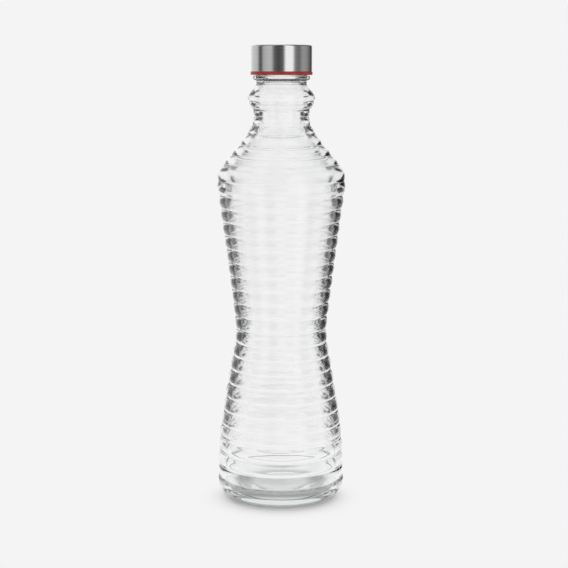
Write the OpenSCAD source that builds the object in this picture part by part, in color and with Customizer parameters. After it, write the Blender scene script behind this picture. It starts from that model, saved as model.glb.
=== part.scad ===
// Ribbed glass water bottle with a screw-on steel cap.
// Millimetres, +Z up. The origin is the centre of the foot ring, on the
// surface that the bottle stands on, and the axis of the bottle is Z.

/* [Body] */
// Radius of the body at its foot
base_r = 44.8; // [44:0.1:45.6]
// Radius of the rib crests at the waist
waist_r = 32.35; // [31:0.05:34]
// Height of the waist above the foot
waist_z = 120.1; // [114:0.1:126]
// How gently the outline turns at the waist
waist_soft = 6; // [3:0.5:12]
// Widening of the radius per millimetre above the waist
flare_up = 0.132; // [0.12:0.001:0.14]
// Widening of the radius per millimetre below the waist
flare_down = 0.182; // [0.17:0.001:0.195]

/* [Ribs] */
// Number of horizontal ribs between the shoulder and the heel
rib_count = 21; // [19:1:21]
// Height of the highest of these grooves
rib_top_z = 214.9; // [214:0.1:216]
// Pitch of the highest rib
rib_pitch = 9.24; // [9.1:0.01:9.26]
// How much each rib is taller than the one above it
rib_growth = 0.041; // [0.03:0.001:0.042]
// Height of the heel's top edge, under the lowest rib
heel_top = 13.7; // [13.4:0.1:15]
// How far a rib's crest stands out of the line between its grooves
rib_depth = 1.2; // [0.8:0.05:1.4]

/* [Glass] */
// Wall thickness of the body, from the grooves inwards
wall = 3.2; // [2.6:0.1:3.4]
// How strongly the inner face follows the ribs
inner_wave = 0.7; // [0:0.05:0.8]
// Width of the rounded heel
heel_w = 11; // [8:0.5:12]
// Height of the rounded heel
heel_h = 12; // [9:0.5:12]
// Width of the flat foot ring
foot_w = 4; // [2.5:0.5:6]
// Height of the push-up in the middle of the underside
punt_h = 3; // [2:0.5:6]
// Glass thickness in the middle of the floor
floor_t = 5; // [4:0.5:8]
// Inner radius between the floor and the wall
floor_fillet = 11; // [8:0.5:14]

/* [Neck] */
// Radius of the bore through the mouth
bore_r = 14; // [13.5:0.1:14.2]
// Outer radius of the neck at its narrowest, under the bead
neck_r = 17.5; // [17:0.1:18]
// Outer radius of the swelling in the neck
bulge_r = 23.4; // [22.5:0.1:24]
// Height of the widest point of the swelling
bulge_z = 283.4; // [283:0.1:284]
// Radius of the bead under the cap
bead_r = 19.85; // [19.3:0.05:20.1]
// Height of the top of the bead
bead_z = 298; // [297.5:0.1:298.1]

/* [Mouth and thread] */
// Height of the rim of the mouth
rim_z = 315; // [314.5:0.1:315.4]
// Radius of the mouth's outside between the thread ridges
root_r = 17.6; // [17.4:0.05:17.7]
// Outer radius of the glass thread
thread_r = 19; // [18.7:0.05:19.05]
// Rise of the thread for one turn
thread_pitch = 4.2; // [4.1:0.05:4.4]
// Turns of the glass thread
thread_turns = 1.5; // [1:0.25:1.75]
// Height at which the glass thread starts, at its low end
thread_z = 305.4; // [304.5:0.1:305.6]

/* [Cap] */
// Outer radius of the steel shell
cap_r = 21.25; // [21.2:0.05:22]
// Height of the top of the cap
cap_top_z = 319; // [319:0.1:320]
// Thickness of the steel
steel_t = 0.6; // [0.5:0.05:0.6]
// Radius of the rounded top edge of the steel
steel_edge_r = 1.1; // [0.7:0.1:1.5]
// Height of the lowest edge of the cap
cap_low_z = 298.5; // [298.45:0.05:298.8]
// Height of the coloured ring
ring_h = 2.3; // [1.5:0.1:3.5]
// How far the ring stands out past the steel
ring_proud = 0.25; // [0.1:0.05:0.5]
// Inner radius of the plastic liner between its thread ridges
liner_bore_r = 19.4; // [19.35:0.05:19.5]
// Inner radius of the liner's thread ridges
liner_ridge_r = 18.05; // [18.05:0.05:18.3]
// Turns of the liner's thread
liner_turns = 1.25; // [1:0.25:1.5]
// Thickness of the sealing washer
washer_t = 1.8; // [1.5:0.1:1.9]

/* [Hidden] */
$fn = 96;

// ---- outline helpers: a point is [radius, height] ----

// crest radius of the body at height z: two straight flares that meet in a
// soft waist, and the lower one eases into the foot's upright wall
function flare(z) =
    waist_r + (z > waist_z ? flare_up : flare_down)
        * (sqrt((z - waist_z) * (z - waist_z) + waist_soft * waist_soft) - waist_soft);
function soft_min(a, b, s) = (a + b - sqrt((a - b) * (a - b) + s * s)) / 2;
function crest(z) = z > waist_z ? flare(z) : soft_min(flare(z), base_r + 0.4, 3);

// height of groove k, counted down from the highest one
function groove_z(k) = k == rib_count && rib_count > 20 ? heel_top
    : rib_top_z - k * rib_pitch - rib_growth * k * (k - 1) / 2;
function groove(k) = [crest(groove_z(k)) - rib_depth, groove_z(k)];

// unit normal of the line a-b, to its right when going up: outwards
function out(a, b) = [b[1] - a[1], a[0] - b[0]] / norm(b - a);
// one convex rib between the grooves a and b, without its last point
function rib(a, b, s, n) =
    [for (i = [0 : n - 1]) let (t = i / n)
        a + (b - a) * t + out(a, b) * s * 4 * t * (1 - t)];
// a curve through c, between b and d, without its last point
function curve(a, b, c, d, n) =
    [for (i = [0 : n - 1]) let (t = i / n)
        0.5 * ((2 * b) + (c - a) * t + (2 * a - 5 * b + 4 * c - d) * t * t
               + (3 * b - a - 3 * c + d) * t * t * t)];
function through(p, n) =
    [for (i = [0 : len(p) - 2])
        each curve(p[max(i - 1, 0)], p[i], p[i + 1], p[min(i + 2, len(p) - 1)], n)];
// a quarter turn about the point c, from angle a0 to a1
function arc(c, r, a0, a1, n) =
    [for (i = [0 : n]) let (a = a0 + (a1 - a0) * i / n) c + r * [cos(a), sin(a)]];

// ---- shoulder and neck: the grooves between the stepped rings, going up ----
shoulder = [[44.1, 225.2], [39.7, 236.9], [34.5, 243.3], [28.3, 250.6],
            [23.4, 258.2], [20, 264], [19.1, 269.4], [19.6, 275],
            [22.3, 280.6]];
// how far each ring stands out, the first one from the body's top groove
ring_out = [1.3, 2, 0.8, 0.85, 0.6, 0.25, 0.15, 0.15, 1];

n_rib = 6;
heel_edge = groove_z(rib_count);

underside = [for (i = [0 : 8]) let (r = (base_r - heel_w - foot_w) * i / 8, u = i / 8)
    [r, punt_h * (1 - u * u) * (1 - u * u)]];
heel = concat(
    [for (i = [0 : 12]) let (a = 90 * i / 12)
        [base_r - heel_w * (1 - sin(a)), heel_h * (1 - cos(a))]],
    arc([base_r - 0.9, heel_edge - 1.2], 0.9, 10, 60, 2));
body_up = [for (k = [rib_count : -1 : 1])
    each rib(groove(k), groove(k - 1), rib_depth, n_rib)];
shoulder_up = concat(
    rib(groove(0), shoulder[0], ring_out[0], n_rib),
    [for (i = [1 : len(shoulder) - 1])
        each rib(shoulder[i - 1], shoulder[i], ring_out[i], i == 1 ? 10 : n_rib)]);
swell = [for (i = [0 : 12]) let (t = i / 12)
    [neck_r + (bulge_r - neck_r) * (1 + cos(180 * t)) / 2,
     bulge_z + (292.8 - bulge_z) * t]];
swell_low = rib(shoulder[len(shoulder) - 1], swell[0], 0.3, 3);
bead = concat(
    [[neck_r, 293.7], [neck_r + 0.3, 294.5]],
    arc([bead_r - 0.9, bead_z - 1.9], 0.9, -60, 0, 3),
    arc([bead_r - 0.6, bead_z - 0.6], 0.6, 0, 90, 4));
mouth_out = concat(
    [[root_r + 0.25, bead_z], [root_r, bead_z + 0.25]],
    arc([root_r - 1, rim_z - 1], 1, 0, 90, 5));
mouth_in = arc([bore_r + 0.8, rim_z - 0.8], 0.8, 90, 180, 4);

// the inner face, going down
in_off = wall + rib_depth * 0.15;
neck_in = [[bore_r, 294.9], [bore_r, 292.9], [15.6, 289.4], [18.4, 285.9],
           [19.6, 282.4], [18.9, 278.4], [16.9, 274.4], [16.1, 269.9],
           [16.4, 265.9], [18.2, 261.9]];
function inward(i) = shoulder[i] - out(shoulder[i - 1], shoulder[min(i + 1, len(shoulder) - 1)]) * in_off;
shoulder_in = [inward(4), inward(3), inward(2), inward(1), [44.1 - in_off, 225.2]];
function body_in(z, k) = [crest(z) - rib_depth - wall + inner_wave * (k % 2) * rib_depth, z];
// two points for each rib: at its crest and at its groove
wall_in = [for (k = [0 : 2 * rib_count - 3])
    let (z = (groove_z(floor(k / 2)) + groove_z(ceil(k / 2))) / 2) body_in(z, k)];
floor_z = punt_h + floor_t;
floor_r = base_r - rib_depth - wall;
floor_in = concat(
    arc([floor_r - floor_fillet, floor_z + floor_fillet - 1.5], floor_fillet, 0, -90, 8),
    [for (i = [4 : -1 : 0]) let (u = i / 5)
        [(floor_r - floor_fillet) * u, floor_z - 1.5 * u * u]]);

glass_outline = concat(underside, heel, body_up, shoulder_up, swell_low, swell,
    bead, mouth_out, mouth_in,
    through(concat(neck_in, shoulder_in), 3), wall_in, floor_in);

// ---- helical thread ridge, as a closed tube of four-sided rings ----
// r_in and r_out are the ridge's two faces, w_base and w_tip its heights there
module thread(r_base, r_tip, w_base, w_tip, z0, turns, steps = 48) {
    n = round(turns * steps);
    fade = steps / 8;
    rings = [for (i = [0 : n]) let (
            a = 360 * i / steps, z = z0 + thread_pitch * i / steps,
            f = min(1, (i + 0.6) / fade, (n - i + 0.6) / fade),
            r = r_base + (r_tip - r_base) * (0.34 + 0.66 * f),
            w = w_base + (w_tip - w_base) * (0.34 + 0.66 * f))
        [[r_base * cos(a), r_base * sin(a), z - w_base / 2],
         [r * cos(a), r * sin(a), z - w / 2],
         [r * cos(a), r * sin(a), z + w / 2],
         [r_base * cos(a), r_base * sin(a), z + w_base / 2]]];
    side = r_tip > r_base ? 1 : -1;
    quads = [for (i = [0 : n - 1], j = [0 : 3]) let (
            p = 4 * i + j, q = 4 * i + (j + 1) % 4)
        each side < 0 ? [[p, p + 4, q + 4], [p, q + 4, q]]
                      : [[p, q + 4, p + 4], [p, q, q + 4]]];
    ends = side < 0 ? [[0, 1, 2, 3], [4 * n + 3, 4 * n + 2, 4 * n + 1, 4 * n]]
                    : [[3, 2, 1, 0], [4 * n, 4 * n + 1, 4 * n + 2, 4 * n + 3]];
    polyhedron([for (ring = rings) each ring], concat(quads, ends));
}

// The bottle: one piece of clear glass with its thread
module glass_bottle() {
    color([0.9, 0.95, 0.95, 0.5]) union() {
        rotate_extrude() polygon(glass_outline);
        thread(root_r - 0.5, thread_r, 2.6, 1.1, thread_z, thread_turns);
    }
}

// The cap's brushed steel shell, a deep-drawn cup with a rounded top edge
module cap_shell() {
    color("silver") rotate_extrude() polygon(concat(
        [[0, cap_top_z - steel_t], [0, cap_top_z - 0.15], [cap_r - steel_edge_r - 1.6, cap_top_z - 0.15]],
        arc([cap_r - steel_edge_r, cap_top_z - steel_edge_r], steel_edge_r, 90, 0, 8),
        [[cap_r, cap_low_z + ring_h + 0.1], [cap_r - 0.1, cap_low_z + ring_h],
         [cap_r - steel_t, cap_low_z + ring_h]],
        arc([cap_r - steel_edge_r, cap_top_z - steel_edge_r], steel_edge_r - steel_t, 0, 90, 4)));
}

// The threaded plastic liner that is pressed into the shell
module cap_liner() {
    liner_r = cap_r - steel_t;
    disc_low = rim_z + washer_t;
    color("whitesmoke") union() {
        rotate_extrude() polygon([
            [0, cap_top_z - steel_t], [liner_r - 0.6, cap_top_z - steel_t],
            [liner_r, cap_top_z - steel_t - 0.6], [liner_r, cap_low_z + ring_h],
            [liner_r - 0.45, cap_low_z + ring_h], [liner_r - 0.45, cap_low_z],
            [liner_bore_r + 0.3, cap_low_z], [liner_bore_r, cap_low_z + 0.4],
            [liner_bore_r, disc_low], [0, disc_low]]);
        thread(liner_bore_r + 0.4, liner_ridge_r, 2.3, 0.9,
            thread_z - thread_pitch / 2, liner_turns);
    }
}

// The coloured silicone ring round the liner's foot, under the steel
module cap_ring() {
    lo = cap_low_z;
    hi = cap_low_z + ring_h;
    ro = cap_r + ring_proud;
    ri = cap_r - steel_t - 0.45;
    color([0.72, 0.16, 0.13]) rotate_extrude() polygon(concat(
        [[ri, lo]],
        arc([ro - 0.5, lo + 0.5], 0.5, -90, 0, 4),
        arc([ro - 0.4, hi - 0.4], 0.4, 0, 90, 4),
        [[ri, hi]]));
}

// The silicone washer that the cap presses onto the rim
module cap_washer() {
    color([0.93, 0.93, 0.9]) translate([0, 0, rim_z]) difference() {
        cylinder(r = liner_bore_r - 0.4, h = washer_t);
        translate([0, 0, -1]) cylinder(r = 11.5, h = washer_t + 2);
    }
}

glass_bottle();
cap_shell();
cap_liner();
cap_ring();
cap_washer();
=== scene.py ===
import math

import bpy
import bmesh
import numpy as np
from mathutils import Vector, Euler, Matrix, noise


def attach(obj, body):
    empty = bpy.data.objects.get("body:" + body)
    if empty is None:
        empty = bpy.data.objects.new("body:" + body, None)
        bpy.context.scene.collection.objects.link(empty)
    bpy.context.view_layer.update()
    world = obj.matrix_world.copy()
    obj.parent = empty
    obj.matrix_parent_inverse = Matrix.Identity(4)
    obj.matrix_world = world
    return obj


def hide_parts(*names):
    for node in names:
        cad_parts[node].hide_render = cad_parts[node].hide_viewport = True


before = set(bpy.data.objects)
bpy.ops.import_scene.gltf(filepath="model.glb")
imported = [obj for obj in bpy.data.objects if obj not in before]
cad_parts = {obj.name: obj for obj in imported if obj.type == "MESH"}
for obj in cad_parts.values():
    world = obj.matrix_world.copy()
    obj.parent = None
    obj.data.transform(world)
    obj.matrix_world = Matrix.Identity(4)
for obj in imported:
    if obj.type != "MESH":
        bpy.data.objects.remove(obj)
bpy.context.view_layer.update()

MM = 0.001
scene = bpy.context.scene
col = scene.collection

# ------------------------------------------------------------------ outline
# The same rules as the CAD outline, in millimetres, sampled finely.
BASE_R, WAIST_R, WAIST_Z, SOFT = 44.8, 32.35, 120.1, 6.0
FLARE_UP, FLARE_DOWN = 0.132, 0.182
RIBS, RIB_TOP, PITCH, GROWTH, DEPTH, HEEL_TOP = 21, 214.9, 9.24, 0.041, 1.2, 13.7
WALL, WAVE, HEEL_W, HEEL_H, FOOT, PUNT, FLOOR_T, FILLET = 3.2, 0.7, 11.0, 12.0, 4.0, 3.0, 5.0, 11.0
BORE, NECK, BULGE, BULGE_Z, BEAD, BEAD_Z = 14.0, 17.5, 23.4, 283.4, 19.85, 298.0
RIM, ROOT, THREAD_R, T_PITCH, T_TURNS, T_Z = 315.0, 17.6, 19.0, 4.2, 1.5, 305.4
CAP_R, CAP_TOP, STEEL, EDGE_R, CAP_LOW, RING_H = 21.25, 319.0, 0.6, 1.1, 298.5, 2.3
PROUD, LINER_BORE, LINER_RIDGE, LINER_TURNS, WASHER_T = 0.25, 19.4, 18.05, 1.25, 1.8


def flare(z):
    k = FLARE_UP if z > WAIST_Z else FLARE_DOWN
    return WAIST_R + k * (math.hypot(z - WAIST_Z, SOFT) - SOFT)


def crest(z):
    a = flare(z)
    if z > WAIST_Z:
        return a
    b, s = BASE_R + 0.4, 3.0
    return (a + b - math.sqrt((a - b) ** 2 + s * s)) / 2


def groove_z(k):
    return HEEL_TOP if k == RIBS else RIB_TOP - k * PITCH - GROWTH * k * (k - 1) / 2


def groove(k):
    return np.array([crest(groove_z(k)) - DEPTH, groove_z(k)])


def out(a, b):
    d = np.asarray(b, float) - np.asarray(a, float)
    return np.array([d[1], -d[0]]) / np.linalg.norm(d)


def rib(a, b, s, n=16):
    """One convex rib from groove a up to groove b, without its last point; its ends are a little blunted."""
    a, b = np.asarray(a, float), np.asarray(b, float)
    o = out(a, b)
    pts = []
    for i in range(n):
        u = i / n
        t = u - 0.035 * math.sin(2 * math.pi * u)          # closer together near the grooves
        h = 4 * t * (1 - t)
        e = min(t, 1 - t) * np.linalg.norm(b - a)          # distance from the nearer groove
        h_mm = s * h
        r0 = 0.38                                          # the mould's rounded groove
        if e < r0:
            h_mm = h_mm + 0.10 * (1 - e / r0) ** 2
        pts.append(a + (b - a) * t + o * h_mm)
    return pts


def catmull(p, n):
    p = [np.asarray(q, float) for q in p]
    r = []
    for i in range(len(p) - 1):
        a, b, c, d = p[max(i - 1, 0)], p[i], p[i + 1], p[min(i + 2, len(p) - 1)]
        for k in range(n):
            t = k / n
            r.append(0.5 * (2 * b + (c - a) * t + (2 * a - 5 * b + 4 * c - d) * t * t
                            + (3 * b - a - 3 * c + d) * t ** 3))
    return r


def arc(c, r, a0, a1, n):
    return [np.array([c[0] + r * math.cos(math.radians(a0 + (a1 - a0) * i / n)),
                      c[1] + r * math.sin(math.radians(a0 + (a1 - a0) * i / n))]) for i in range(n + 1)]


SHOULDER = [(44.1, 225.2), (39.7, 236.9), (34.5, 243.3), (28.3, 250.6), (23.4, 258.2),
            (20.0, 264.0), (19.1, 269.4), (19.6, 275.0), (22.3, 280.6)]
RING_OUT = [1.3, 2, 0.8, 0.85, 0.6, 0.25, 0.15, 0.15, 1.0]


def glass_outline():
    heel_top = groove_z(RIBS)
    o = []
    r_in = BASE_R - HEEL_W - FOOT
    for i in range(24):
        u = i / 24
        o.append(np.array([r_in * u, PUNT * (1 - u * u) ** 2]))
    o.append(np.array([r_in, 0.0]))
    o.append(np.array([r_in + FOOT * 0.5, 0.0]))
    for i in range(25):
        a = math.pi / 2 * i / 24
        o.append(np.array([BASE_R - HEEL_W * (1 - math.sin(a)), HEEL_H * (1 - math.cos(a))]))
    o += arc((BASE_R - 0.9, heel_top - 1.2), 0.9, 4, 62, 6)
    for k in range(RIBS, 0, -1):
        o += rib(groove(k), groove(k - 1), DEPTH)
    o += rib(groove(0), SHOULDER[0], RING_OUT[0])
    for i in range(1, len(SHOULDER)):
        o += rib(SHOULDER[i - 1], SHOULDER[i], RING_OUT[i], 24 if i == 1 else 14)
    o += rib(SHOULDER[-1], (BULGE, BULGE_Z), 0.3, 6)
    for i in range(25):
        t = i / 24
        o.append(np.array([NECK + (BULGE - NECK) * (1 + math.cos(math.pi * t)) / 2,
                           BULGE_Z + (292.8 - BULGE_Z) * t]))
    o += [np.array([NECK, 293.5]), np.array([NECK + 0.08, 294.1]), np.array([NECK + 0.4, 294.6])]
    o += arc((BEAD - 0.9, BEAD_Z - 1.9), 0.9, -70, 0, 6)
    o += arc((BEAD - 0.6, BEAD_Z - 0.6), 0.6, 0, 90, 6)
    o += [np.array([ROOT + 0.3, BEAD_Z + 0.02]), np.array([ROOT + 0.08, BEAD_Z + 0.12]), np.array([ROOT, BEAD_Z + 0.4])]
    z = BEAD_Z + 1.4
    first_thread = len(o)
    while z < RIM - 1.4:
        o.append(np.array([ROOT, z]))
        z += 0.22
    last_thread = len(o)
    o += arc((ROOT - 1, RIM - 1), 1, 0, 90, 8)
    o.append(np.array([15.6, RIM]))
    first_inner = len(o)
    o += arc((BORE + 0.8, RIM - 0.8), 0.8, 90, 180, 7)
    for z in (310.4, 306.4, 302.4, 298.9):
        o.append(np.array([BORE, z]))
    in_off = WALL + DEPTH * 0.15

    def inward(i):
        return np.array(SHOULDER[i]) - out(SHOULDER[i - 1], SHOULDER[min(i + 1, len(SHOULDER) - 1)]) * in_off

    neck_in = [(BORE, 294.9), (BORE, 292.9), (15.6, 289.4), (18.4, 285.9), (19.6, 282.4), (18.9, 278.4),
               (16.9, 274.4), (16.1, 269.9), (16.4, 265.9), (18.2, 261.9)]
    o += catmull(neck_in + [inward(4), inward(3), inward(2), inward(1), (44.1 - in_off, 225.2),
                            (crest(217.4) - DEPTH - WALL, 217.4)], 5)
    for k in range(0, RIBS):
        za, zb = groove_z(k), groove_z(k + 1)
        if k == RIBS - 1:
            break
        for i in range(6):
            u = i / 6
            z = za + (zb - za) * u
            o.append(np.array([crest(z) - DEPTH - WALL + WAVE * DEPTH * (0.5 - 0.5 * math.cos(2 * math.pi * u)), z]))
    floor_z, floor_r = PUNT + FLOOR_T, BASE_R - DEPTH - WALL
    o += arc((floor_r - FILLET, floor_z + FILLET - 1.5), FILLET, 0, -90, 16)
    for i in range(11, -1, -1):
        u = i / 12
        o.append(np.array([(floor_r - FILLET) * u, floor_z - 1.5 * u * u]))
    return o, first_thread, last_thread, first_inner


def ridge(theta, z, z0, turns, w_root, w_tip):
    """Height, 0 to 1, of a helical ridge at an angle and a height; its two ends run out softly."""
    best = 0.0
    for k in range(int(turns) + 2):
        a = theta + 2 * math.pi * k
        if a > 2 * math.pi * turns + 0.5:
            break
        over = max(0.0, a - 2 * math.pi * turns)
        f = min(1.0, (a + 0.03) / 0.8, max(0.0, 2 * math.pi * turns - a + 0.03) / 0.8)
        f = max(0.0, f)
        f = f * f * (3 - 2 * f)
        if over > 0.03:
            f = 0.0
        d = abs(z - (z0 + T_PITCH * a / (2 * math.pi)))
        h = (w_root / 2 - d) / (w_root / 2 - w_tip / 2)
        h = max(0.0, min(1.0, h))
        h = h * h * (3 - 2 * h) * 0.35 + h * 0.65
        best = max(best, h * f)
    return best


# ------------------------------------------------------------------ lathe
def lathe(name, prof, segs, shift=None, smooth_angle=None):
    """Turns a profile round Z. Points at radius 0 become poles; a profile without them is a closed ring."""
    prof = [np.asarray(p, float) for p in prof]
    closed = prof[0][0] > 1e-6
    ang = np.arange(segs) * 2 * math.pi / segs
    verts, rows = [], []
    for i, (r, z) in enumerate(prof):
        if r < 1e-6:
            rows.append([len(verts)])
            verts.append((0.0, 0.0, z * MM))
            continue
        row = []
        for j, a in enumerate(ang):
            rr, zz = r, z
            if shift is not None:
                rr, zz = shift(i, a, r, z)
            row.append(len(verts))
            verts.append((rr * math.cos(a) * MM, rr * math.sin(a) * MM, zz * MM))
        rows.append(row)
    faces = []
    n = len(rows)
    for i in range(n if closed else n - 1):
        a, b = rows[i], rows[(i + 1) % n]
        for j in range(segs):
            k = (j + 1) % segs
            if len(a) == 1 and len(b) == 1:
                continue
            if len(a) == 1:
                faces.append((a[0], b[j], b[k]))
            elif len(b) == 1:
                faces.append((a[j], b[0], a[k]))
            else:
                faces.append((a[j], b[j], b[k], a[k]))
    me = bpy.data.meshes.new(name)
    me.from_pydata(verts, [], faces)
    bm = bmesh.new()
    bm.from_mesh(me)
    bmesh.ops.recalc_face_normals(bm, faces=bm.faces)
    bm.to_mesh(me)
    bm.free()
    me.shade_smooth()
    if smooth_angle is not None:
        me.set_sharp_from_angle(angle=math.radians(smooth_angle))
    ob = bpy.data.objects.new(name, me)
    col.objects.link(ob)
    return ob


# ------------------------------------------------------------------ node helpers
def new_mat(name):
    m = bpy.data.materials.new(name)
    m.use_nodes = True
    nt = m.node_tree
    nt.nodes.clear()
    o = nt.nodes.new("ShaderNodeOutputMaterial")
    p = nt.nodes.new("ShaderNodeBsdfPrincipled")
    nt.links.new(p.outputs[0], o.inputs[0])
    return m, nt, p, o


def node(nt, kind, **kw):
    n = nt.nodes.new(kind)
    for k, v in kw.items():
        if k.startswith("in_"):
            n.inputs[k[3:].replace("_", " ")].default_value = v
        else:
            setattr(n, k, v)
    return n


def ramp(nt, stops, fac=None, interp="LINEAR"):
    r = nt.nodes.new("ShaderNodeValToRGB")
    r.color_ramp.interpolation = interp
    e = r.color_ramp.elements
    while len(e) > 1:
        e.remove(e[-1])
    e[0].position, e[0].color = stops[0][0], tuple(stops[0][1]) if hasattr(stops[0][1], "__len__") else (stops[0][1],) * 3 + (1,)
    for pos, c in stops[1:]:
        x = e.new(pos)
        x.color = tuple(c) if hasattr(c, "__len__") else (c, c, c, 1)
    if fac is not None:
        nt.links.new(fac, r.inputs[0])
    return r


def math_node(nt, op, a, b=None, clamp=False):
    n = nt.nodes.new("ShaderNodeMath")
    n.operation = op
    n.use_clamp = clamp
    for i, v in enumerate((a, b)):
        if v is None:
            continue
        if hasattr(v, "links"):
            nt.links.new(v, n.inputs[i])
        else:
            n.inputs[i].default_value = v
    return n.outputs[0]


# ------------------------------------------------------------------ materials
def glass_material():
    m, nt, p, o = new_mat("clear_glass")
    p.inputs["Base Color"].default_value = (1, 1, 1, 1)
    p.inputs["Transmission Weight"].default_value = 1.0
    p.inputs["IOR"].default_value = 1.5
    p.inputs["Roughness"].default_value = 0.0
    p.inputs["Specular IOR Level"].default_value = 0.5
    tc = node(nt, "ShaderNodeTexCoord")
    n1 = node(nt, "ShaderNodeTexNoise", in_Scale=38.0, in_Detail=2.0, in_Roughness=0.45)
    nt.links.new(tc.outputs["Object"], n1.inputs["Vector"])
    b = node(nt, "ShaderNodeBump", in_Strength=0.025, in_Distance=0.0006)
    nt.links.new(n1.outputs["Fac"], b.inputs["Height"])
    nt.links.new(b.outputs[0], p.inputs["Normal"])
    # a faint film of handling marks: clear nearly everywhere
    n2 = node(nt, "ShaderNodeTexNoise", in_Scale=14.0, in_Detail=4.0)
    nt.links.new(tc.outputs["Object"], n2.inputs["Vector"])
    r = ramp(nt, [(0.45, 0.0), (0.75, 0.03)], n2.outputs["Fac"])
    nt.links.new(r.outputs[0], p.inputs["Roughness"])
    va = node(nt, "ShaderNodeVolumeAbsorption")
    va.inputs["Color"].default_value = (0.80, 0.86, 0.85, 1)
    va.inputs["Density"].default_value = 9.0
    nt.links.new(va.outputs[0], o.inputs["Volume"])
    return m


def steel_material():
    m, nt, p, o = new_mat("brushed_steel")
    p.inputs["Metallic"].default_value = 1.0
    p.inputs["Anisotropic"].default_value = 0.85
    p.inputs["Anisotropic Rotation"].default_value = 0.25
    tan = node(nt, "ShaderNodeTangent", direction_type="RADIAL", axis="Z")
    nt.links.new(tan.outputs[0], p.inputs["Tangent"])
    tc = node(nt, "ShaderNodeTexCoord")
    sep = node(nt, "ShaderNodeSeparateXYZ")
    nt.links.new(tc.outputs["Object"], sep.inputs[0])
    az = math_node(nt, "ARCTAN2", sep.outputs[0], sep.outputs[1])
    s, c = math_node(nt, "SINE", az), math_node(nt, "COSINE", az)
    comb = node(nt, "ShaderNodeCombineXYZ")
    nt.links.new(math_node(nt, "MULTIPLY", s, 0.6), comb.inputs[0])
    nt.links.new(math_node(nt, "MULTIPLY", c, 0.6), comb.inputs[1])
    nt.links.new(math_node(nt, "MULTIPLY", sep.outputs[2], 2600.0), comb.inputs[2])
    n1 = node(nt, "ShaderNodeTexNoise", in_Scale=1.0, in_Detail=3.0, in_Roughness=0.65)
    nt.links.new(comb.outputs[0], n1.inputs["Vector"])
    cr = ramp(nt, [(0.3, (0.63, 0.63, 0.625, 1)), (0.7, (0.70, 0.70, 0.695, 1))], n1.outputs["Fac"])
    nt.links.new(cr.outputs[0], p.inputs["Base Color"])
    rr = ramp(nt, [(0.3, 0.15), (0.7, 0.24)], n1.outputs["Fac"])
    nt.links.new(rr.outputs[0], p.inputs["Roughness"])
    b = node(nt, "ShaderNodeBump", in_Strength=0.04, in_Distance=0.00002)
    nt.links.new(n1.outputs["Fac"], b.inputs["Height"])
    nt.links.new(b.outputs[0], p.inputs["Normal"])
    return m


def soft_material(name, low, high, rough, scale, ior=1.41, bump=0.1, sss=0.0):
    m, nt, p, o = new_mat(name)
    p.inputs["IOR"].default_value = ior
    if sss:
        p.inputs["Subsurface Weight"].default_value = sss
        p.inputs["Subsurface Radius"].default_value = (0.002, 0.0006, 0.0004)
        p.inputs["Subsurface Scale"].default_value = 0.5
    tc = node(nt, "ShaderNodeTexCoord")
    n1 = node(nt, "ShaderNodeTexNoise", in_Scale=scale, in_Detail=5.0, in_Roughness=0.55)
    nt.links.new(tc.outputs["Object"], n1.inputs["Vector"])
    cr = ramp(nt, [(0.35, low + (1,)), (0.65, high + (1,))], n1.outputs["Fac"])
    nt.links.new(cr.outputs[0], p.inputs["Base Color"])
    rr = ramp(nt, [(0.3, rough - 0.05), (0.7, rough + 0.07)], n1.outputs["Fac"])
    nt.links.new(rr.outputs[0], p.inputs["Roughness"])
    n2 = node(nt, "ShaderNodeTexNoise", in_Scale=scale * 9, in_Detail=3.0)
    nt.links.new(tc.outputs["Object"], n2.inputs["Vector"])
    b = node(nt, "ShaderNodeBump", in_Strength=bump, in_Distance=0.0001)
    nt.links.new(n2.outputs["Fac"], b.inputs["Height"])
    nt.links.new(b.outputs[0], p.inputs["Normal"])
    return m


M_GLASS = glass_material()
M_STEEL = steel_material()
M_RING = soft_material("ring_silicone", (0.28, 0.020, 0.014), (0.36, 0.032, 0.022), 0.38, 260.0, sss=0.0)
M_LINER = soft_material("liner_plastic", (0.66, 0.66, 0.63), (0.74, 0.74, 0.71), 0.42, 180.0, ior=1.49)
M_WASHER = soft_material("washer_silicone", (0.70, 0.70, 0.66), (0.78, 0.78, 0.74), 0.35, 200.0)

# ------------------------------------------------------------------ glass bottle
outline, t_first, t_last, inner_first = glass_outline()
outline = [np.array([min(p[0], BASE_R + 0.03), p[1]]) for p in outline]      # never past the CAD's widest crest


def glass_shift(i, a, r, z):
    if t_first <= i < t_last:
        return r + (THREAD_R - ROOT) * ridge(a, z, T_Z, T_TURNS, 2.2, 1.1), z
    if i >= inner_first and z < 257:
        # the blown inner face wanders a little, as it was never in a mould
        k = min(1.0, (257 - z) / 30) * min(1.0, max(0.0, (z - 9) / 12))
        v = noise.noise(Vector((math.cos(a) * 1.5, math.sin(a) * 1.5, z / 34.0)))
        w = noise.noise(Vector((math.cos(a) * 3.1 + 7, math.sin(a) * 3.1, z / 9.0)))
        return r + k * (0.16 * v + 0.07 * w), z
    return r, z


bottle = lathe("glass_bottle_lathe", outline, 192, glass_shift)
bottle.data.materials.append(M_GLASS)
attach(bottle, "bottle")
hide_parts("glass_bottle")

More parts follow.
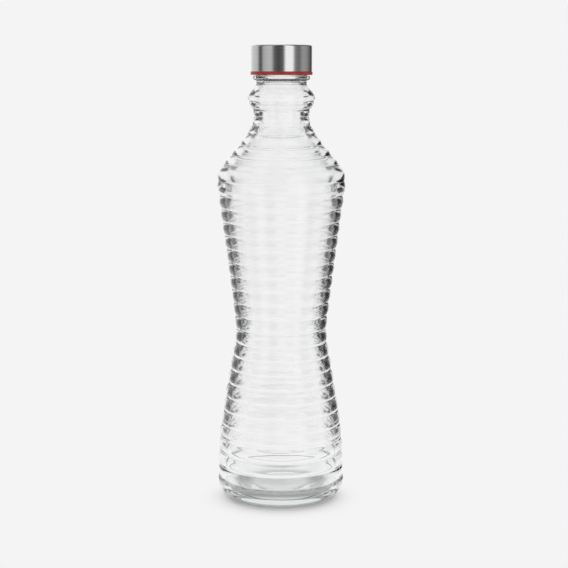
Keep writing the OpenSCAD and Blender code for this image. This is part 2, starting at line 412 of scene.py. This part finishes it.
# ------------------------------------------------------------------ cap
shell_prof = ([(0, CAP_TOP - 0.15), (6, CAP_TOP - 0.15), (12, CAP_TOP - 0.15), (17.4, CAP_TOP - 0.15), (18.2, CAP_TOP - 0.13),
               (18.9, CAP_TOP - 0.07), (19.5, CAP_TOP - 0.01)]
              + arc((CAP_R - EDGE_R, CAP_TOP - EDGE_R), EDGE_R, 90, 0, 12)
              + [(CAP_R, CAP_TOP - 3), (CAP_R, CAP_TOP - 8), (CAP_R, CAP_TOP - 13), (CAP_R, CAP_LOW + RING_H + 0.5)]
              + arc((CAP_R - 0.25, CAP_LOW + RING_H + 0.25), 0.25, 0, -90, 4)
              + [(CAP_R - STEEL, CAP_LOW + RING_H), (CAP_R - STEEL, CAP_LOW + RING_H + 0.3),
                 (CAP_R - STEEL, CAP_TOP - 8), (CAP_R - STEEL, CAP_TOP - EDGE_R - 0.3)]
              + arc((CAP_R - EDGE_R, CAP_TOP - EDGE_R), EDGE_R - STEEL, 0, 90, 5)
              + [(16, CAP_TOP - STEEL), (8, CAP_TOP - STEEL), (0, CAP_TOP - STEEL)])
shell = lathe("steel_shell", shell_prof, 160)
shell.data.materials.append(M_STEEL)
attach(shell, "cap")
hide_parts("cap_shell")

lo, hi, ro = CAP_LOW, CAP_LOW + RING_H, CAP_R + PROUD
ri = CAP_R - STEEL - 0.45
ring_prof = ([(ri, lo + 0.1), (ri + 0.1, lo)] + arc((ro - 0.55, lo + 0.55), 0.55, -90, 0, 8)
             + arc((ro - 0.45, hi - 0.45), 0.45, 0, 90, 8) + [(ri + 0.1, hi), (ri, hi - 0.1)])
ring = lathe("red_ring", ring_prof, 160)
ring.data.materials.append(M_RING)
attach(ring, "cap")
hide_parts("cap_ring")

liner_r, disc_low = CAP_R - STEEL, RIM + WASHER_T
liner_prof = [(0, CAP_TOP - STEEL), (10, CAP_TOP - STEEL), (liner_r - 0.8, CAP_TOP - STEEL), (liner_r - 0.35, CAP_TOP - STEEL - 0.2),
              (liner_r - 0.02, CAP_TOP - STEEL - 0.7), (liner_r - 0.02, 308), (liner_r - 0.02, hi + 0.05),
              (liner_r - 0.1, hi), (liner_r - 0.45, hi), (liner_r - 0.45, lo + 0.2), (liner_r - 0.6, lo),
              (LINER_BORE + 0.35, lo), (LINER_BORE + 0.08, lo + 0.15), (LINER_BORE, lo + 0.45)]
l_first = len(liner_prof)
z = lo + 0.7
while z < 313.9:
    liner_prof.append((LINER_BORE, z))
    z += 0.22
l_last = len(liner_prof)
liner_prof += [(LINER_BORE, disc_low - 0.5), (LINER_BORE - 0.12, disc_low - 0.1), (LINER_BORE - 0.5, disc_low),
               (12, disc_low), (6, disc_low), (0, disc_low)]


def liner_shift(i, a, r, z):
    if l_first <= i < l_last:
        return r - (LINER_BORE - LINER_RIDGE) * ridge(a, z, T_Z - T_PITCH / 2, LINER_TURNS, 1.95, 0.9), z
    return r, z


liner = lathe("threaded_liner", liner_prof, 160, liner_shift)
liner.data.materials.append(M_LINER)
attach(liner, "cap")
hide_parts("cap_liner")

wr = LINER_BORE - 0.4
washer_prof = ([(11.5, RIM + 0.25), (11.6, RIM + 0.08), (11.8, RIM), (15, RIM), (wr - 0.3, RIM), (wr - 0.08, RIM + 0.08), (wr, RIM + 0.3),
                (wr, disc_low - 0.3), (wr - 0.08, disc_low - 0.08), (wr - 0.3, disc_low), (15, disc_low), (11.8, disc_low),
                (11.6, disc_low - 0.08), (11.5, disc_low - 0.25)])
washer = lathe("seal_washer", washer_prof, 160)
washer.data.materials.append(M_WASHER)
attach(washer, "washer")
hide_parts("cap_washer")

# ------------------------------------------------------------------ floor, light, camera
BG = 0.905          # the pale background, in scene-linear light
DARK = 0.022         # the studio's dark side flags, which only the glass shows
LOW = 0.85          # the shaded band low down behind the bottle


def smooth(nt, value, a, b, lo=0.0, hi=1.0):
    m = node(nt, "ShaderNodeMapRange", interpolation_type="SMOOTHSTEP")
    m.inputs["From Min"].default_value = a
    m.inputs["From Max"].default_value = b
    m.inputs["To Min"].default_value = lo
    m.inputs["To Max"].default_value = hi
    nt.links.new(value, m.inputs["Value"])
    return m.outputs[0]


def floor_object():
    me = bpy.data.meshes.new("floor")
    s = 40.0
    me.from_pydata([(-s, -s, 0), (s, -s, 0), (s, s, 0), (-s, s, 0)], [], [(0, 1, 2, 3)])
    ob = bpy.data.objects.new("floor", me)
    ob.location.z = -0.00015
    col.objects.link(ob)
    m = bpy.data.materials.new("floor_paper_painted_shadow")
    m.use_nodes = True
    nt = m.node_tree
    nt.nodes.clear()
    o = nt.nodes.new("ShaderNodeOutputMaterial")
    d = node(nt, "ShaderNodeBsdfDiffuse")
    d.inputs["Color"].default_value = (BG, BG, BG, 1)
    em = node(nt, "ShaderNodeEmission")
    em.inputs["Color"].default_value = (BG, BG, BG, 1)
    clear = node(nt, "ShaderNodeBsdfTransparent")
    lp = node(nt, "ShaderNodeLightPath")
    geo = node(nt, "ShaderNodeNewGeometry")
    ln = node(nt, "ShaderNodeVectorMath", operation="LENGTH")
    painted_shadow_centre = node(nt, "ShaderNodeVectorMath", operation="ADD")       # the painted shadow zone is centred 9 mm in front of the axis, towards the camera, so the painted shadow leans forwards
    painted_shadow_centre.inputs[1].default_value = (0, 0.009, 0)
    nt.links.new(geo.outputs["Position"], painted_shadow_centre.inputs[0])
    nt.links.new(painted_shadow_centre.outputs[0], ln.inputs[0])
    # painted shade and light: the floor mixes its real diffuse shading with a glow of the backdrop's tone, by distance
    # from that centre. The glow share is 0.6 under the middle of the bottle (painted light) and 0.12 under the foot
    # ring, where the real shadow shows. It is full beyond about 62 mm, so the shadow shows only round the foot and
    # further out the floor is evenly lit.
    painted_shadow_share = ramp(nt, [(0, 0.6), (0.18, 0.6), (0.26, 0.12), (0.36, 0.12), (0.41, 0.45), (0.46, 0.72), (0.53, 0.94), (0.62, 1.0)],
                math_node(nt, "MULTIPLY", ln.outputs["Value"], 10.0)).outputs[0]
    paper_with_painted_shadow = node(nt, "ShaderNodeMixShader")
    nt.links.new(painted_shadow_share, paper_with_painted_shadow.inputs[0])
    nt.links.new(d.outputs[0], paper_with_painted_shadow.inputs[1])
    nt.links.new(em.outputs[0], paper_with_painted_shadow.inputs[2])
    # light that comes through the glass sees the studio behind the sheet, past its edge
    far = smooth(nt, ln.outputs["Value"], 0.16, 0.30)
    through = math_node(nt, "MAXIMUM", lp.outputs["Is Transmission Ray"], lp.outputs["Is Glossy Ray"])
    f = math_node(nt, "MULTIPLY", through, far)
    mix = node(nt, "ShaderNodeMixShader")
    nt.links.new(f, mix.inputs[0])
    nt.links.new(paper_with_painted_shadow.outputs[0], mix.inputs[1])
    nt.links.new(clear.outputs[0], mix.inputs[2])
    nt.links.new(mix.outputs[0], o.inputs[0])
    me.materials.append(m)
    return ob


floor = floor_object()


def at(deg):
    return deg / 360 + 0.5


world = bpy.data.worlds.new("studio")
scene.world = world
world.use_nodes = True
nt = world.node_tree
nt.nodes.clear()
wo = nt.nodes.new("ShaderNodeOutputWorld")
lp = node(nt, "ShaderNodeLightPath")
tc = node(nt, "ShaderNodeTexCoord")
sep = node(nt, "ShaderNodeSeparateXYZ")
nt.links.new(tc.outputs["Generated"], sep.inputs[0])
up = sep.outputs[2]
az = math_node(nt, "ARCTAN2", sep.outputs[0], sep.outputs[1])
turn = math_node(nt, "MULTIPLY_ADD", az, 1 / (2 * math.pi))      # 0.5 is straight behind, +Y
turn.node.inputs[2].default_value = 0.5
half_up = math_node(nt, "MULTIPLY_ADD", up, 0.5)
half_up.node.inputs[2].default_value = 0.5

# what the glass shows behind it: bright screens with dark flags between them
LOBES = [(-90, 12, BG), (0, 12, BG), (90, 9, 0.8), (135, 10, BG)]
stops = [(0.0, BG), (at(-171), BG), (at(-168), DARK)]
for mid, half, tint in LOBES:
    stops += [(at(mid - half - 1.5), DARK), (at(mid - half + 1.5), tint), (at(mid + half - 1.5), tint), (at(mid + half + 1.5), DARK)]
stops += [(at(168), DARK), (at(171), BG)]
level = ramp(nt, stops, turn).outputs[0]
# lower down the flags close in a little, and lower still the pale stand shows between them
low_level = ramp(nt, [(0.0, BG), (at(-168), BG), (at(-162), DARK * 2), (at(-112), DARK * 2), (at(-106), LOW), (at(-74), LOW), (at(-68), DARK * 2),
                      (at(-22), DARK * 2), (at(-16), LOW), (at(16), LOW), (at(22), DARK * 2), (at(80), DARK * 2), (at(84), 0.5), (at(96), 0.5),
                      (at(100), DARK * 2), (at(122), DARK * 2), (at(126), BG), (at(144), BG), (at(148), DARK * 2), (at(162), DARK * 2), (at(168), BG)],
                 turn).outputs[0]
steep = ramp(nt, [(0.0, BG), (at(-166), BG), (at(-162), DARK * 16), (at(-150), DARK * 16), (at(-146), BG), (at(-124), BG), (at(-120), DARK * 16),
                  (at(-98), DARK * 16), (at(-95), BG), (at(-85), BG), (at(-82), DARK * 16), (at(-62), DARK * 16), (at(-58), BG), (at(-32), BG), (at(-28), DARK * 16),
                  (at(-8), DARK * 16), (at(-5), BG), (at(5), BG), (at(8), DARK * 16), (at(28), DARK * 16), (at(32), BG), (at(58), BG), (at(62), DARK * 16),
                  (at(78), DARK * 16), (at(82), BG), (at(98), BG), (at(102), DARK * 16), (at(118), DARK * 16), (at(122), BG), (at(148), BG), (at(152), DARK * 16),
                  (at(164), BG)], turn).outputs[0]
high = smooth(nt, up, -0.02, 0.07)          # the flags aren't tall


def mix_float(fac, a, b):
    n = node(nt, "ShaderNodeMix", data_type="FLOAT")
    nt.links.new(fac, n.inputs["Factor"])
    for key, v in (("A", a), ("B", b)):
        if hasattr(v, "links"):
            nt.links.new(v, n.inputs[key])
        else:
            n.inputs[key].default_value = v
    return n.outputs[0]


behind = mix_float(high, level, BG)
behind = mix_float(smooth(nt, up, -0.235, -0.190, 1.0, 0.0), behind, low_level)
behind = mix_float(smooth(nt, up, -0.325, -0.290, 1.0, 0.0), behind, steep)
elev = ramp(nt, [(0.0, 1.0), (0.72, 1.0), (0.78, 0.3), (0.88, 0.3), (0.93, 1.0)], half_up)
trans = math_node(nt, "MULTIPLY", behind, elev.outputs[0])

# what polished faces reflect, by the angle round from the front: 0.5 is the front
front = math_node(nt, "MULTIPLY_ADD", math_node(nt, "ARCTAN2", sep.outputs[0], math_node(nt, "MULTIPLY", sep.outputs[1], -1.0)), 1 / (2 * math.pi))
front.node.inputs[2].default_value = 0.5
gl = ramp(nt, [(at(-175), 1.1), (at(-150), 0.95), (at(-124), 0.80), (at(-104), 0.70), (at(-98), 0.50), (at(-93), 0.20), (at(-88), 0.12),
               (at(-82), 0.12), (at(-77), 0.32), (at(-72), 0.56), (at(-50), 0.70), (at(-38), 0.66), (at(-31), 0.28), (at(-25), 0.12),
               (at(-10), 0.075), (at(2), 0.12), (at(7), 0.18), (at(12), 0.75), (at(16), 1.33), (at(42), 1.33), (at(46), 0.90),
               (at(51), 0.38), (at(58), 0.24), (at(68), 0.18), (at(75), 0.24), (at(86), 0.42), (at(100), 0.40), (at(116), 0.30),
               (at(126), 0.19), (at(134), 0.10), (at(152), 0.08), (at(166), 0.9)], front)
gelev = ramp(nt, [(0.0, 0.9), (0.46, 0.9), (0.56, 1.0), (0.72, 1.0), (0.80, 0.45), (1.0, 0.8)], half_up)
gloss = math_node(nt, "MULTIPLY", gl.outputs[0], gelev.outputs[0])
mix1 = node(nt, "ShaderNodeMix", data_type="FLOAT")
nt.links.new(lp.outputs["Is Transmission Ray"], mix1.inputs["Factor"])
nt.links.new(gloss, mix1.inputs["A"])
nt.links.new(trans, mix1.inputs["B"])
plain = math_node(nt, "MAXIMUM", lp.outputs["Is Camera Ray"], lp.outputs["Is Diffuse Ray"])
# the soft light that falls on the floor is white; the backdrop seen past the floor has the lit floor's tone
tone = math_node(nt, "MULTIPLY_ADD", lp.outputs["Is Diffuse Ray"], 1.0 - BG)
tone.node.inputs[2].default_value = BG
bgs = node(nt, "ShaderNodeBackground")
nt.links.new(mix1.outputs[0], bgs.inputs["Color"])
bgp = node(nt, "ShaderNodeBackground")
nt.links.new(tone, bgp.inputs["Color"])
mixs = node(nt, "ShaderNodeMixShader")
nt.links.new(plain, mixs.inputs[0])
nt.links.new(bgs.outputs[0], mixs.inputs[1])
nt.links.new(bgp.outputs[0], mixs.inputs[2])
nt.links.new(mixs.outputs[0], wo.inputs[0])

cam_data = bpy.data.cameras.new("camera")
cam_data.lens = 95.07
cam_data.sensor_width = 36.0
cam = bpy.data.objects.new("camera", cam_data)
col.objects.link(cam)
cam.location = (0.0020, -1.050, 0.3019)
cam.rotation_euler = (Euler((math.radians(90 - 8.12), 0, 0)).to_matrix() @ Matrix.Rotation(math.radians(0.12), 3, "Z")).to_euler()
scene.camera = cam

scene.view_settings.view_transform = "Standard"
scene.view_settings.look = "None"
scene.cycles.max_bounces = 20
scene.cycles.transmission_bounces = 20
scene.cycles.glossy_bounces = 8
